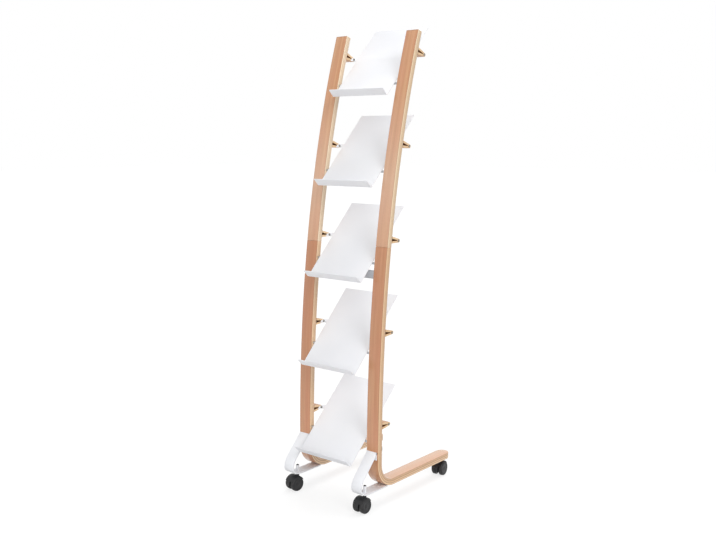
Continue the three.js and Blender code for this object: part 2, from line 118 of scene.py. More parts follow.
def climb(bm, face, bottom, top):
    """Grows the band up its sweep between two heights."""
    rise = (top - bottom) / SWEEP_STEPS
    for step in range(SWEEP_STEPS):
        here, there = stand(bottom + rise * step), stand(bottom + rise * (step + 1))
        face = grow(bm, face, there @ here.inverted())
    return face


def sharp_edges(bm, degrees=40):
    limit = math.radians(degrees)
    return [edge for edge in bm.edges if edge.is_manifold and edge.calc_face_angle() > limit]


def ease(bm, edges, radius, segments=3):
    """Rounds edges off."""
    bmesh.ops.bevel(bm, geom=edges, offset=radius, segments=segments, profile=0.5,
                    affect="EDGES", clamp_overlap=True, material=-1)


def piece(name, bm, finish, body, slot, *stands_for):
    """Turns a finished bmesh into a piece of the object."""
    bmesh.ops.recalc_face_normals(bm, faces=bm.faces)
    mesh = bpy.data.meshes.new(name)
    bm.to_mesh(mesh)
    bm.free()
    mesh.shade_smooth()
    mesh.set_sharp_from_angle(angle=SMOOTH_LIMIT)
    mesh.materials.append(finish)
    made = bpy.data.objects.new(name, mesh)
    bpy.context.scene.collection.objects.link(made)
    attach(made, body)
    if stands_for:
        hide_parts(*stands_for)


def lower_band():
    """Foot, bend and lower sweep, grown from the half-round rear end of the foot."""
    bm = bmesh.new()
    bmesh.ops.create_circle(bm, cap_ends=True, segments=FOOT_END_SEGMENTS, radius=band_width / 2)
    bmesh.ops.bisect_plane(bm, geom=bm.verts[:] + bm.edges[:] + bm.faces[:], dist=1e-6,
                           plane_co=(0, 0, 0), plane_no=(0, -1, 0), clear_outer=True)
    bmesh.ops.scale(bm, vec=(1, FOOT_END_ROUND / (band_width / 2), 1), verts=bm.verts)
    bmesh.ops.translate(bm, vec=(0, lower_high.y - FOOT_END_ROUND, foot_floor), verts=bm.verts)
    grow(bm, bm.faces[:][0], Matrix.Translation((0, 0, BAND_THICK)))
    face = min(bm.faces, key=lambda each: each.calc_center_median().y)
    start = face.calc_center_median().y
    face = grow(bm, face, Matrix.Translation((0, bend_centre.y - start, 0)))
    made = bmesh.ops.spin(bm, geom=[face, *face.edges, *face.verts], cent=bend_centre, axis=(1, 0, 0),
                          angle=-math.pi / 2, steps=BEND_STEPS)["geom_last"]
    face = next(item for item in made if isinstance(item, bmesh.types.BMFace))
    climb(bm, face, bend_top, seam_height)
    return bm


def upper_band():
    """Upper sweep, grown from the seam."""
    bm = bmesh.new()
    bmesh.ops.create_grid(bm, x_segments=1, y_segments=1, size=0.5)
    bmesh.ops.scale(bm, vec=(band_width, BAND_THICK, 1), verts=bm.verts)
    bmesh.ops.translate(bm, vec=(0, BAND_THICK / 2, 0), verts=bm.verts)
    bmesh.ops.transform(bm, matrix=stand(seam_height + SEAM_GAP), verts=bm.verts)
    climb(bm, bm.faces[:][0], seam_height + SEAM_GAP, upper_high.z)
    return bm


def rgb(red, green, blue):
    """A colour as seen on a screen, 0 to 255, as the shader takes it."""
    shares = [value / 255 for value in (red, green, blue)]
    return (*(((s + 0.055) / 1.055) ** 2.4 if s > 0.04045 else s / 12.92 for s in shares), 1)


class Finish:
    """A material and the few nodes that paint it."""

    def __init__(self, name, **sockets):
        self.material = bpy.data.materials.new(name)
        self.material.use_nodes = True
        self.tree = self.material.node_tree
        self.shader = self.tree.nodes["Principled BSDF"]
        for key, value in sockets.items():
            self.shader.inputs[key.replace("_", " ")].default_value = value

    def put(self, socket, value):
        """Links an input to another node's output, or sets it to a plain value."""
        if isinstance(value, bpy.types.NodeSocket):
            self.tree.links.new(value, socket)
        else:
            socket.default_value = value

    def add(self, kind, *values, **named):
        """Adds a node. Values go to its inputs in order, or by name, and other names are its settings."""
        node = self.tree.nodes.new("ShaderNode" + kind)
        for key in [key for key in named if hasattr(node, key)]:
            setattr(node, key, named.pop(key))
        places = [*zip(node.inputs, values), *((node.inputs[key], named[key]) for key in named)]
        for socket, value in places:
            self.put(socket, value)
        return node

    def math(self, operation, *values):
        return self.add("Math", *values, operation=operation).outputs[0]

    def mix(self, share, first, second, blend_type="MIX"):
        node = self.add("Mix", share, data_type="RGBA", blend_type=blend_type)
        self.put(node.inputs[6], first)
        self.put(node.inputs[7], second)
        return node.outputs[2]

    def ramp(self, value, *stops):
        node = self.add("ValToRGB", value)
        points = node.color_ramp.elements
        while len(points) < len(stops):
            points.new(1)
        for point, (place, colour) in zip(points, stops):
            point.position = place
            point.color = colour if isinstance(colour, tuple) else (colour, colour, colour, 1)
        return node.outputs[0]

    def noise(self, place, size, detail=4, roughness=0.55):
        """Noise whose features have the given size in metres along each axis."""
        scaled = self.add("VectorMath", place, tuple(1 / each for each in size), operation="MULTIPLY")
        made = self.add("TexNoise", scaled.outputs[0], Scale=1, Detail=detail, Roughness=roughness)
        return made.outputs["Fac"]

    def places(self):
        return self.add("TexCoord").outputs["Object"]

    def paint(self, colour=None, roughness=None, height=None, depth=0.0001):
        links = self.tree.links
        if colour is not None:
            links.new(colour, self.shader.inputs["Base Color"])
        if roughness is not None:
            links.new(roughness, self.shader.inputs["Roughness"])
        if height is not None:
            bump = self.add("Bump", Height=height, Distance=depth)
            links.new(bump.outputs[0], self.shader.inputs["Normal"])
        return self.material


def laminated_beech():
    """Lacquered beech veneers: streaked faces with fine flecks, and pale layers along the edges."""
    finish = Finish("laminated_beech", Coat_Weight=1, Coat_Roughness=0.14, Coat_IOR=1.6,
                    Specular_IOR_Level=0.3)
    across = finish.add("SeparateXYZ", finish.places()).outputs[0]
    band = finish.add("SeparateXYZ", finish.add("UVMap", uv_map="band").outputs[0])
    along, depth = band.outputs[0], band.outputs[1]
    board = finish.add("CombineXYZ", across, depth, along).outputs[0]

    streaks = finish.noise(board, (0.011, 0.02, 0.55), 5)
    patches = finish.noise(board, (0.05, 0.05, 0.2), 2)
    lines = finish.noise(board, (0.0022, 0.004, 0.12), 4)
    flecks = finish.noise(board, (0.0006, 0.0012, 0.0055), 2)
    face = finish.ramp(streaks, (0.28, rgb(194, 132, 87)), (0.5, rgb(209, 152, 105)),
                       (0.75, rgb(223, 174, 129)))
    face = finish.mix(finish.ramp(patches, (0.4, 0.0), (0.65, 0.55)), face, rgb(214, 144, 108))
    face = finish.mix(finish.ramp(lines, (0.35, 0.3), (0.6, 0.0)), face, rgb(166, 110, 70))

    # The upper length is paler, and the lower is browner, more so on the left upright.
    left = finish.math("LESS_THAN", across, 0)
    upper = finish.math("GREATER_THAN", along, seam_height - bend_top)
    height = finish.math("MULTIPLY_ADD", along, 0.5, 0.25)
    pale = finish.math("MULTIPLY", upper, finish.ramp(height, (0.6, 0.2), (0.7, 0.38), (0.84, 0.0)))
    face = finish.mix(pale, face, rgb(236, 206, 184))
    brown = finish.ramp(height, (0.2, 0.0), (0.27, 0.2), (0.45, 0.55), (0.6, 0.5))
    brown = finish.math("MULTIPLY", brown, finish.math("MULTIPLY_ADD", left, 0.35, 0.8))
    face = finish.mix(finish.math("SUBTRACT", brown, upper), face, rgb(180, 112, 72))
    # Painted sheen: the band's inner face, seen on the top of the foot and the bend, is painted paler.
    inner_face_painted_sheen = finish.math("GREATER_THAN", depth, BAND_THICK / 2)
    face = finish.mix(finish.math("MULTIPLY", inner_face_painted_sheen, 0.4), face, rgb(238, 202, 168))

    # The eased edges and the top end of the upper length are darker.
    from_edge = finish.math("SUBTRACT", finish.math("ABSOLUTE", across), inner_face)
    from_edge = finish.math("PINGPONG", from_edge, band_width / 2)
    rim = finish.math("LESS_THAN", from_edge, EDGE_ROUND)
    top = finish.math("GREATER_THAN", along, upper_high.z - bend_top - TOP_RIM)
    rim = finish.math("MAXIMUM", rim, top)
    face = finish.mix(finish.math("MULTIPLY", rim, 0.4), face, rgb(128, 88, 58))

    # The veneers show on both sides of the band, with a glue line between each two.
    layer = finish.math("FLOOR", finish.math("DIVIDE", depth, VENEER))
    tone = finish.add("TexWhiteNoise", W=layer, noise_dimensions="1D").outputs["Value"]
    front_to_back = finish.math("DIVIDE", depth, BAND_THICK)
    core = finish.ramp(front_to_back, (0.2, rgb(250, 226, 188)), (0.5, rgb(242, 212, 170)),
                       (0.85, rgb(214, 184, 146)))
    core = finish.mix(finish.math("MULTIPLY", tone, 0.3), core, rgb(206, 164, 120))
    core = finish.mix(finish.math("MULTIPLY", left, 0.25), core, rgb(254, 242, 222))
    core = finish.mix(finish.math("SUBTRACT", 1, upper), core, rgb(244, 228, 213), "MULTIPLY")
    joint = finish.math("DIVIDE", finish.math("PINGPONG", depth, VENEER), VENEER)
    joint = finish.ramp(joint, (0.2, 0.85), (0.5, 0.0))
    joint = finish.math("MULTIPLY", joint, finish.ramp(along, (0.0, 0.8), (0.1, 0.45)))
    core = finish.mix(joint, core, rgb(152, 106, 70))
    from_face = finish.math("PINGPONG", depth, BAND_THICK / 2)
    inside = finish.math("GREATER_THAN", from_face, VENEER / 4)
    wood = finish.mix(inside, face, core)
    wood = finish.mix(finish.ramp(flecks, (0.6, 0.0), (0.7, 0.35)), wood, rgb(132, 84, 58))
    rough = finish.ramp(lines, (0.3, 0.5), (0.7, 0.36))
    relief = finish.math("ADD", lines, finish.math("MULTIPLY", flecks, 0.5))
    return finish.paint(wood, rough, relief, 0.00008)


beech_band = laminated_beech()
for side, hand in SIDES.items():
    for part, made in (("lower", lower_band()), ("upper", upper_band())):
        bmesh.ops.recalc_face_normals(made, faces=made.faces)
        ease(made, sharp_edges(made), EDGE_ROUND)
        place = made.loops.layers.uv.new("band")
        for face in made.faces:
            for loop in face.loops:
                loop[place].uv = in_band(loop.vert.co)
        bmesh.ops.translate(made, vec=(hand * band_centre, 0, 0), verts=made.verts)
        piece(f"band_{part}_{side}", made, beech_band, "frame", "beech_band", f"upright_{part}_{side}")

# Splice tenons
# A loose tongue of bare beech is glued into both lengths of each upright, across the seam.
# It lies wholly inside the wood, so the piece keeps its plain shape.


def bare_beech():
    finish = Finish("bare_beech", Specular_IOR_Level=0.25)
    place = finish.places()
    grain = finish.noise(place, (0.003, 0.003, 0.09), 5)
    flecks = finish.noise(place, (0.0007, 0.0007, 0.005), 2)
    wood = finish.ramp(grain, (0.3, rgb(190, 142, 104)), (0.7, rgb(224, 184, 146)))
    wood = finish.mix(finish.ramp(flecks, (0.6, 0.0), (0.7, 0.4)), wood, rgb(126, 82, 56))
    return finish.paint(wood, finish.ramp(grain, (0.3, 0.75), (0.7, 0.62)), grain, 0.0001)


tenon_wood = bare_beech()
for side in SIDES:
    nodes[f"splice_tenon_{side}"].data.materials[0] = tenon_wood

# Cross rail
# One flat steel bar is let into the inner faces of both uprights, below the middle shelf.
# It keeps them parallel and is powder coated light grey.
RAIL_ROUND = 0.0012


def powder_coat(name, colour, shade):
    """Powder coated steel: a fine orange peel with faint clouding and a few rubbed spots."""
    finish = Finish(name, Specular_IOR_Level=0.45)
    place = finish.places()
    peel = finish.noise(place, (0.0011, 0.0011, 0.0011), 2)
    clouds = finish.noise(place, (0.16, 0.16, 0.16), 3)
    rubs = finish.noise(place, (0.012, 0.05, 0.05), 6, 0.7)
    coat = finish.mix(finish.ramp(clouds, (0.35, 0.0), (0.7, 0.5)), rgb(*colour), rgb(*shade))
    coat = finish.mix(finish.ramp(rubs, (0.66, 0.0), (0.8, 0.25)), coat, rgb(*shade))
    rough = finish.ramp(rubs, (0.35, 0.42), (0.75, 0.52))
    return finish.paint(coat, rough, peel, 0.00006)


def slab(low, high):
    """A block between two corners."""
    bm = bmesh.new()
    bmesh.ops.create_cube(bm, size=1)
    bmesh.ops.scale(bm, vec=high - low, verts=bm.verts)
    bmesh.ops.translate(bm, vec=(low + high) / 2, verts=bm.verts)
    return bm


rail = slab(*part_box("cross_rail"))
ease(rail, rail.edges[:], RAIL_ROUND)
piece("rail", rail, powder_coat("grey_coat", (190, 193, 198), (178, 181, 187)), "frame", "grey_rail",
      "cross_rail")

# Support rods
# A round steel rod runs from upright to upright under each shelf, and the plate leans on it.
# The ends sit in blind holes, and the drawn surface is zinc plated.
ROD_SIDES = 40
ROD_CHAMFER = 0.0006


def zinc_plate(name, size, dull, bright):
    """Zinc on drawn or turned steel, with fine marks along the given sizes."""
    finish = Finish(name, Metallic=1)
    place = finish.places()
    marks = finish.noise(place, size, 4, 0.6)
    bloom = finish.noise(place, (0.006, 0.006, 0.006), 4, 0.6)
    colour = finish.ramp(bloom, (0.3, rgb(*dull)), (0.7, rgb(*bright)))
    return finish.paint(colour, finish.ramp(marks, (0.3, 0.26), (0.7, 0.42)), marks, 0.00003)


def round_bar(low, high):
    """A round bar along X that fills a box."""
    bm = bmesh.new()
    radius = (high.z - low.z) / 2
    bmesh.ops.create_cone(bm, cap_ends=True, segments=ROD_SIDES, radius1=radius, radius2=radius,
                          depth=high.x - low.x)
    bmesh.ops.rotate(bm, matrix=Matrix.Rotation(math.pi / 2, 3, "Y"), verts=bm.verts)
    bmesh.ops.translate(bm, vec=(low + high) / 2, verts=bm.verts)
    ease(bm, sharp_edges(bm), ROD_CHAMFER, 1)
    return bm


rod_zinc = zinc_plate("rod_zinc", (0.04, 0.0004, 0.0004), (180, 183, 188), (200, 202, 205))
for number in range(1, 6):
    rod = round_bar(*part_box(f"support_rod_{number}"))
    piece(f"rod_{number}", rod, rod_zinc, "frame", "grey_rod", f"support_rod_{number}")

# Wedge brackets
# A split wedge of solid beech is glued and dowelled to the back of the upright for each shelf end.
# Its two legs meet at the bolt, where the nose is rounded.
LOWEST_BRACKET = 0.268
SHELF_PITCH = 0.2935
BRACKET_SHIFTS = (0, 0.0045, 0.002, 0.004, 0)  # above an even pitch, top first
SEAT = 0.0003
WEDGE_BASE = 0.022
WEDGE_TIP = 0.010
WEDGE_LENGTH = 0.040
WEDGE_LEG = 0.007
NOTCH_DEPTH = 0.0262
NOTCH_END = 0.0016
NOSE_ROUND = 0.0042
WEDGE_EASE = 0.0007


def block_beech():
    """Solid lacquered beech: brown along the grain, pale where it is sawn across, and painted dark in the
    notch as painted shade.
    """
    finish = Finish("block_beech", Coat_Weight=0.4, Coat_Roughness=0.25, Specular_IOR_Level=0.4)
    place = finish.places()
    cut = finish.add("SeparateXYZ", finish.add("UVMap", uv_map="cut").outputs[0])
    sawn, notch_painted_shade = cut.outputs[0], cut.outputs[1]
    grain = finish.noise(place, (0.004, 0.05, 0.006), 5)
    flecks = finish.noise(place, (0.0006, 0.004, 0.0008), 2)
    wood = finish.ramp(grain, (0.3, rgb(182, 126, 84)), (0.7, rgb(214, 166, 120)))
    pale = finish.ramp(grain, (0.3, rgb(222, 184, 138)), (0.7, rgb(246, 218, 178)))
    wood = finish.mix(finish.math("MULTIPLY", sawn, 0.9), wood, pale)
    wood = finish.mix(finish.ramp(flecks, (0.6, 0.0), (0.7, 0.3)), wood, rgb(130, 84, 56))
    # Painted shade: the faces inside the notch are darkened where the slot lies in shade.
    wood = finish.mix(finish.math("MULTIPLY", notch_painted_shade, 0.9), wood, rgb(140, 86, 42))
    return finish.paint(wood, finish.ramp(grain, (0.3, 0.52), (0.7, 0.4)), grain, 0.00008)


def wedge():
    """Bracket with its base on the plane Y = 0, pointing back."""
    half_base, half_tip, half_end = WEDGE_BASE / 2, WEDGE_TIP / 2, NOTCH_END / 2
    leg = half_base - WEDGE_LEG
    outline = [(0, -half_base), (WEDGE_LENGTH, -half_tip), (WEDGE_LENGTH, half_tip), (0, half_base),
               (0, leg), (NOTCH_DEPTH, half_end), (NOTCH_DEPTH, -half_end), (0, -leg)]
    bm = bmesh.new()
    face = bm.faces.new([bm.verts.new((-band_width / 2, y, z)) for y, z in outline])
    grow(bm, face, Matrix.Translation((band_width, 0, 0)))
    bmesh.ops.recalc_face_normals(bm, faces=bm.faces)
    nose = [edge for edge in bm.edges if min(vert.co.y for vert in edge.verts) > WEDGE_LENGTH - SEAT
            and abs(edge.verts[0].co.x - edge.verts[1].co.x) > SEAT]
    ease(bm, nose, NOSE_ROUND, 6)
    ease(bm, sharp_edges(bm), WEDGE_EASE, 2)
    # The UV map marks the sawn faces, and the notch faces that take painted shade.
    cut = bm.loops.layers.uv.new("cut")
    for each in bm.faces:
        middle = each.calc_center_median()
        sawn = abs(each.normal.x) > 0.7
        slot = leg - (leg - half_end) * middle.y / NOTCH_DEPTH + SEAT
        notch_painted_shade = not sawn and middle.y < NOTCH_DEPTH + SEAT and abs(middle.z) < slot
        for loop in each.loops:
            loop[cut].uv = (sawn, notch_painted_shade)
    return bm


def bracket_seat(number, hand):
    """Where a bracket sits behind its upright, as a matrix. Shelves are counted from the top."""
    height = LOWEST_BRACKET + SHELF_PITCH * (5 - number) + BRACKET_SHIFTS[number - 1]
    behind = Matrix.Translation((hand * band_centre, BAND_THICK + SEAT, 0))
    return stand(height) @ behind


bracket_wood = block_beech()
for number in range(1, 6):
    for side, hand in SIDES.items():
        bracket = wedge()
        bmesh.ops.transform(bracket, matrix=bracket_seat(number, hand), verts=bracket.verts)
        piece(f"wedge_{number}_{side}", bracket, bracket_wood, "frame", "beech_block",
              f"wedge_bracket_{number}_{side}")

# Shelves
# Each shelf is one steel sheet: the plate, the ledge turned up along its lower edge, and an arm on
# each side, bent forward along the bracket. It is powder coated white.
PLATE_TILT = math.radians(45.8)
LOWEST_TILT = math.radians(43.5)
PLATE_LENGTH = 0.314
PLATE_WIDTH = 0.222
LEDGE_DEPTH = 0.030
SHEET = 0.002
FOLD_RADIUS = 0.0025
ARM_HEIGHT = 0.010
ARM_LENGTH = 0.020
ARM_ROUND = 0.0045
HOLD_DISTANCE = 0.1748
CORNER_ROUND = 0.002
RIM_ROUND = 0.0005


def edges_between(bm, test):
    return [edge for edge in bm.edges if all(test(vert.co) for vert in edge.verts)]


def extrude_edges(bm, edges, move):
    """Widens a sheet by extruding some of its edges, and returns the new vertices."""
    made = bmesh.ops.extrude_edge_only(bm, edges=edges)["geom"]
    verts = [item for item in made if isinstance(item, bmesh.types.BMVert)]
    bmesh.ops.translate(bm, vec=move, verts=verts)
    return verts


def folded_shelf(arm_face, tilt):
    """Shelf with its plate in the XY plane, running back from the fold at the origin."""
    bm = bmesh.new()
    profile = [(PLATE_LENGTH, 0), (0, 0), (0, LEDGE_DEPTH)]
    verts = [bm.verts.new((-PLATE_WIDTH / 2, y, z)) for y, z in profile]
    edges = [bm.edges.new(pair) for pair in zip(verts, verts[1:])]
    extrude_edges(bm, edges, (PLATE_WIDTH, 0, 0))
    wing = ARM_HEIGHT / 2 / math.sin(tilt)
    for cut in (HOLD_DISTANCE - wing, HOLD_DISTANCE + wing):
        bmesh.ops.bisect_plane(bm, geom=bm.verts[:] + bm.edges[:] + bm.faces[:], dist=1e-7,
                               plane_co=(0, cut, 0), plane_no=(0, 1, 0))
    forward = Vector((0, -math.cos(tilt), math.sin(tilt))) * ARM_LENGTH
    tips = []
    for hand in SIDES.values():
        root = edges_between(bm, lambda co: co.x * hand > PLATE_WIDTH / 2 - SEAT
                             and abs(co.y - HOLD_DISTANCE) < wing + SEAT)
        extrude_edges(bm, root, (hand * (arm_face - PLATE_WIDTH / 2), 0, 0))
        outer = edges_between(bm, lambda co: co.x * hand > arm_face - SEAT and abs(co.z) < SEAT)
        tips += extrude_edges(bm, outer, forward)
    corners = [vert for vert in bm.verts if vert.is_boundary and len(vert.link_edges) == 2
               and abs(vert.co.x) < PLATE_WIDTH / 2 + SEAT]
    bmesh.ops.bevel(bm, geom=corners, offset=CORNER_ROUND, segments=4, profile=0.5, affect="VERTICES",
                    clamp_overlap=True, material=-1)
    bmesh.ops.bevel(bm, geom=tips, offset=ARM_ROUND, segments=6, profile=0.5, affect="VERTICES",
                    clamp_overlap=True, material=-1)
    ease(bm, sharp_edges(bm, 60), FOLD_RADIUS, 6)
    bmesh.ops.recalc_face_normals(bm, faces=bm.faces)
    return bm


white_coat = powder_coat("white_coat", (245, 246, 249), (237, 239, 244))
for number in range(1, 6):
    low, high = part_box(f"shelf_{number}")
    tilt = LOWEST_TILT if number == 5 else PLATE_TILT
    fold_y = low.y + SHEET * math.cos(tilt) + LEDGE_DEPTH * math.sin(tilt)
    fold_z = high.z - PLATE_LENGTH * math.sin(tilt)
    shelf = folded_shelf(high.x - SHEET, tilt)
    plate = max(shelf.faces, key=lambda face: face.calc_area())
    if plate.normal.z < 0:
        bmesh.ops.reverse_faces(shelf, faces=shelf.faces)
    bmesh.ops.solidify(shelf, geom=shelf.faces, thickness=SHEET)
    bmesh.ops.recalc_face_normals(shelf, faces=shelf.faces)
    ease(shelf, sharp_edges(shelf, 60), RIM_ROUND, 2)
    leaning = Matrix.Translation((0, fold_y, fold_z)) @ Matrix.Rotation(tilt, 4, "X")
    bmesh.ops.transform(shelf, matrix=leaning, verts=shelf.verts)
    piece(f"shelf_sheet_{number}", shelf, white_coat, "frame", "white_shelf", f"shelf_{number}")

# Bracket bolts
# A zinc plated bolt passes through each arm and bracket. Its low round head has a socket for a key
# on the inside, and a domed cap nut closes it on the outside.
BOLT_RADIUS = 0.0025
HEAD_RADIUS = 0.004
HEAD_THICK = 0.0025
CAP_THICK = 0.002
SOCKET_RADIUS = 0.0017
SOCKET_DEPTH = 0.0014
BOLT_SETBACK = 0.00799  # from the bracket's nose
TURN_STEPS = 32


def turned(profile, axis="X"):
    """A closed turned piece from (along, radius) points, whose first and last lie on the axis."""
    bm = bmesh.new()
    verts = [bm.verts.new((along, radius, 0)) for along, radius in profile]
    edges = [bm.edges.new(pair) for pair in zip(verts, verts[1:])]
    bmesh.ops.spin(bm, geom=verts + edges, cent=(0, 0, 0), axis=(1, 0, 0), angle=2 * math.pi,
                   steps=TURN_STEPS, use_merge=True)
    bmesh.ops.remove_doubles(bm, verts=bm.verts, dist=1e-6)
    bmesh.ops.recalc_face_normals(bm, faces=bm.faces)
    if axis == "Z":
        bmesh.ops.rotate(bm, matrix=Matrix.Rotation(-math.pi / 2, 3, "Y"), verts=bm.verts)
    return bm


def bolt():
    """Bolt along X, with its cap on the positive side, and the bracket's middle at X = 0."""
    head = -(band_width / 2 + 2 * SEAT + SHEET)
    cap = band_width / 2 + SEAT
    dome = [(cap + CAP_THICK * math.sin(a), HEAD_RADIUS * math.cos(a))
            for a in (math.radians(d) for d in (55, 70, 82))]
    return turned([
        (head - HEAD_THICK + SOCKET_DEPTH, 0),
        (head - HEAD_THICK + SOCKET_DEPTH, SOCKET_RADIUS * 0.9),
        (head - HEAD_THICK, SOCKET_RADIUS),
        (head - HEAD_THICK, HEAD_RADIUS * 0.62),
        (head - HEAD_THICK * 0.86, HEAD_RADIUS * 0.82),
        (head - HEAD_THICK * 0.5, HEAD_RADIUS * 0.97),
        (head - HEAD_THICK * 0.15, HEAD_RADIUS),
        (head, HEAD_RADIUS * 0.96),
        (head, BOLT_RADIUS),
        (cap, BOLT_RADIUS),
        (cap, HEAD_RADIUS * 0.97),
        (cap + CAP_THICK * 0.1, HEAD_RADIUS),
        (cap + CAP_THICK * 0.5, HEAD_RADIUS * 0.97),
        *dome,
        (cap + CAP_THICK, 0),
    ])


bolt_zinc = zinc_plate("bolt_zinc", (0.0006, 0.0006, 0.0006), (138, 134, 128), (164, 160, 154))
for number in range(1, 6):
    for side, hand in SIDES.items():
        fixing = bolt()
        if hand < 0:
            bmesh.ops.rotate(fixing, matrix=Matrix.Rotation(math.pi, 3, "Z"), verts=fixing.verts)
        seat = bracket_seat(number, hand) @ Matrix.Translation((0, WEDGE_LENGTH - BOLT_SETBACK, 0))
        bmesh.ops.transform(fixing, matrix=seat, verts=fixing.verts)
        piece(f"bolt_{number}_{side}", fixing, bolt_zinc, "frame", "bolt_steel",
              f"bracket_bolt_{number}_{side}")

# Leg straps
# Flat steel is folded in a V against the upright, runs down and forward to a round bend, and goes
# back under the foot as a narrow tongue. A tube for the castor is welded in. All is coated white.
STRAP_THICK = 0.004
STRAP_TAB = 0.026
STRAP_BEND = 0.038  # outer radius
STRAP_FOLD = 0.0012  # outer radius
TONGUE_WIDTH = 0.028
STRAP_RIM = 0.0006
STEM_RADIUS = 0.0035
TUBE_WALL = 0.0015
TUBE_TOP = 0.083  # above the floor
TUBE_CHAMFER = 0.0004

strap_low, strap_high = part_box("leg_strap_right")
strap_width = strap_high.x - strap_low.x
under_bend = BEND_RADIUS - STRAP_THICK - SEAT
full_end = band_front + BEND_RADIUS - math.sqrt(BEND_RADIUS**2 - under_bend**2)
stem_low, stem_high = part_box("castor_stem_front_right")
front_stem = (stem_low.y + stem_high.y) / 2


def strap():
    """Bent strip centred on X = 0: its outer skin is folded, and then thickened inwards."""
    top = Vector((band_front - SEAT, strap_high.z))
    centre = Vector((strap_low.y + STRAP_BEND, strap_low.z + STRAP_BEND))
    reach = top - centre
    tangent = math.atan2(reach.y, reach.x) + math.acos(STRAP_BEND / reach.length)
    down = Vector((-math.sin(tangent), math.cos(tangent)))
    knee = top + down * ((strap_low.z - top.y) / down.y)
    profile = [(top.x, top.y - STRAP_TAB), top, knee, (full_end, strap_low.z)]
    bm = bmesh.new()
    verts = [bm.verts.new((-strap_width / 2, y, z)) for y, z in profile]
    edges = [bm.edges.new(pair) for pair in zip(verts, verts[1:])]
    extrude_edges(bm, edges, (strap_width, 0, 0))
    knee_turn = math.pi - abs(down.angle(Vector((-1, 0))))
    fold_turn = math.pi - abs(down.angle(Vector((0, -1))))
    bends = ((knee, STRAP_BEND, knee_turn, 16), (top, STRAP_FOLD, fold_turn, 5))
    for point, radius, turn, steps in bends:
        fold = edges_between(bm, lambda co: abs(co.y - point.x) + abs(co.z - point.y) < SEAT)
        ease(bm, fold, radius * math.tan(turn / 2), steps)
    flat = max(bm.faces, key=lambda face: face.calc_center_median().y)
    for x in (-TONGUE_WIDTH / 2, TONGUE_WIDTH / 2):
        near = [face for face in bm.faces if face.calc_center_median().z < strap_low.z + SEAT
                and face.calc_center_median().y > centre.x]
        geom = {item for face in near for item in (face, *face.edges, *face.verts)}
        bmesh.ops.bisect_plane(bm, geom=list(geom), dist=1e-7, plane_co=(x, 0, 0), plane_no=(1, 0, 0))
    root = edges_between(bm, lambda co: co.y > full_end - SEAT and abs(co.x) < TONGUE_WIDTH / 2 + SEAT)
    extrude_edges(bm, root, (0, strap_high.y - full_end, 0))
    bmesh.ops.recalc_face_normals(bm, faces=bm.faces)
    if flat.normal.z > 0:
        bmesh.ops.reverse_faces(bm, faces=bm.faces)
    bmesh.ops.solidify(bm, geom=bm.faces, thickness=STRAP_THICK)
    bmesh.ops.recalc_face_normals(bm, faces=bm.faces)
    ease(bm, sharp_edges(bm, 60), STRAP_RIM, 2)
    return bm


def ring(bm, inner, outer, bottom, top, chamfer):
    """Adds a round tube along Z to a bmesh, with its upper rim chamfered."""
    section = [(inner, bottom), (outer, bottom), (outer, top - chamfer), (outer - chamfer, top),
               (inner + chamfer / 2, top), (inner, top - chamfer / 2)]
    verts = [bm.verts.new((radius, 0, height)) for radius, height in section]
    edges = [bm.edges.new(pair) for pair in zip(verts, verts[1:] + verts[:1])]
    bmesh.ops.spin(bm, geom=verts + edges, cent=(0, 0, 0), axis=(0, 0, 1), angle=2 * math.pi,
                   steps=TURN_STEPS, use_merge=True)
    around = {vert for edge in edges for vert in edge.verts}
    reach = [*around]
    while reach:
        for edge in reach.pop().link_edges:
            for vert in edge.verts:
                if vert not in around:
                    around.add(vert)
                    reach.append(vert)
    return list(around)


for side, hand in SIDES.items():
    strip = strap()
    tube = ring(strip, STEM_RADIUS + SEAT, STEM_RADIUS + SEAT + TUBE_WALL,
                strap_low.z + STRAP_THICK / 2, TUBE_TOP, TUBE_CHAMFER)
    bmesh.ops.translate(strip, vec=(0, front_stem, 0), verts=tube)
    bmesh.ops.translate(strip, vec=(hand * band_centre, 0, -SEAT / 2), verts=strip.verts)
    piece(f"strap_{side}", strip, white_coat, "frame", "white_strap", f"leg_strap_{side}")

# Strap screws
# Two low screws hold each tab to the upright, and two hold the tongue to the foot from below.
# They are zinc plated steel, and a small round recess in the head takes the driver.
SCREW_RADIUS = 0.0036
SCREW_THICK = 0.0016
SCREW_FLAT = SCREW_RADIUS * 0.42
RECESS_DEPTH = 0.0008
TAB_SCREWS = (-0.010, 0.010)  # from the middle of the strap
TAB_SCREW_DROP = 0.019  # below the fold
TONGUE_SCREWS = (0.014, 0.038)  # behind the root of the tongue


def screw_head():
    """Head that sits on the plane Z = 0 and faces up."""
    dome = [(SCREW_THICK * math.sin(math.radians(rise)), SCREW_RADIUS * math.cos(math.radians(rise)))
            for rise in (0, 15, 30, 45, 60)]
    recess = SCREW_THICK - RECESS_DEPTH
    return turned([
        (0, 0),
        (0, SCREW_RADIUS * 0.97),
        *dome,
        (SCREW_THICK, SCREW_FLAT),
        (SCREW_THICK, SCREW_FLAT * 0.4),
        (recess, SCREW_FLAT * 0.3),
        (recess, 0),
    ], "Z")


